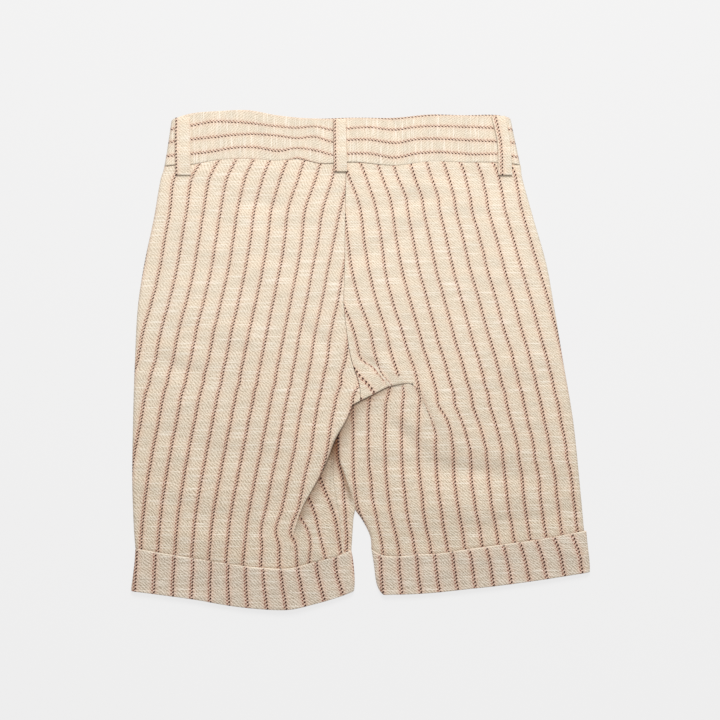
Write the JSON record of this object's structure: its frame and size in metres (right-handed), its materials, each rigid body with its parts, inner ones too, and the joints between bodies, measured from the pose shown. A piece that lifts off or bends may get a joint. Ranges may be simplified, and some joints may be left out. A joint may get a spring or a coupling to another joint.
{
  "type": "child's striped bermuda shorts laid flat",
  "caption": "Knee-length child's shorts lying flat, back upwards, with a waistband, belt loops and turned-up hems.",
  "frame": {"origin": "on the surface it lies on, under the middle of its outline", "axes": "+Y from the hems to the waist, +X to the right with the waist at the top, +Z away from the surface"},
  "size_m": [0.344, 0.3746, 0.0072],
  "materials": {
    "leg_cloth": "matt beige twill with thin brown stripes",
    "band_cloth": "matt beige twill with thin brown stripes along it",
    "loop_cloth": "matt beige twill",
    "cuff_cloth": "matt beige twill with thin brown stripes"
  },
  "bodies": {
    "root": {"front_left": "leg_cloth", "front_right": "leg_cloth", "back_left": "leg_cloth", "back_right": "leg_cloth", "waistband_back": "band_cloth", "waistband_front_left": "band_cloth", "waistband_front_right": "band_cloth", "belt_loop_left": "loop_cloth", "belt_loop_centre": "loop_cloth", "belt_loop_right": "loop_cloth", "cuff_left": "cuff_cloth", "cuff_right": "cuff_cloth"}
  },
  "joints": []
}
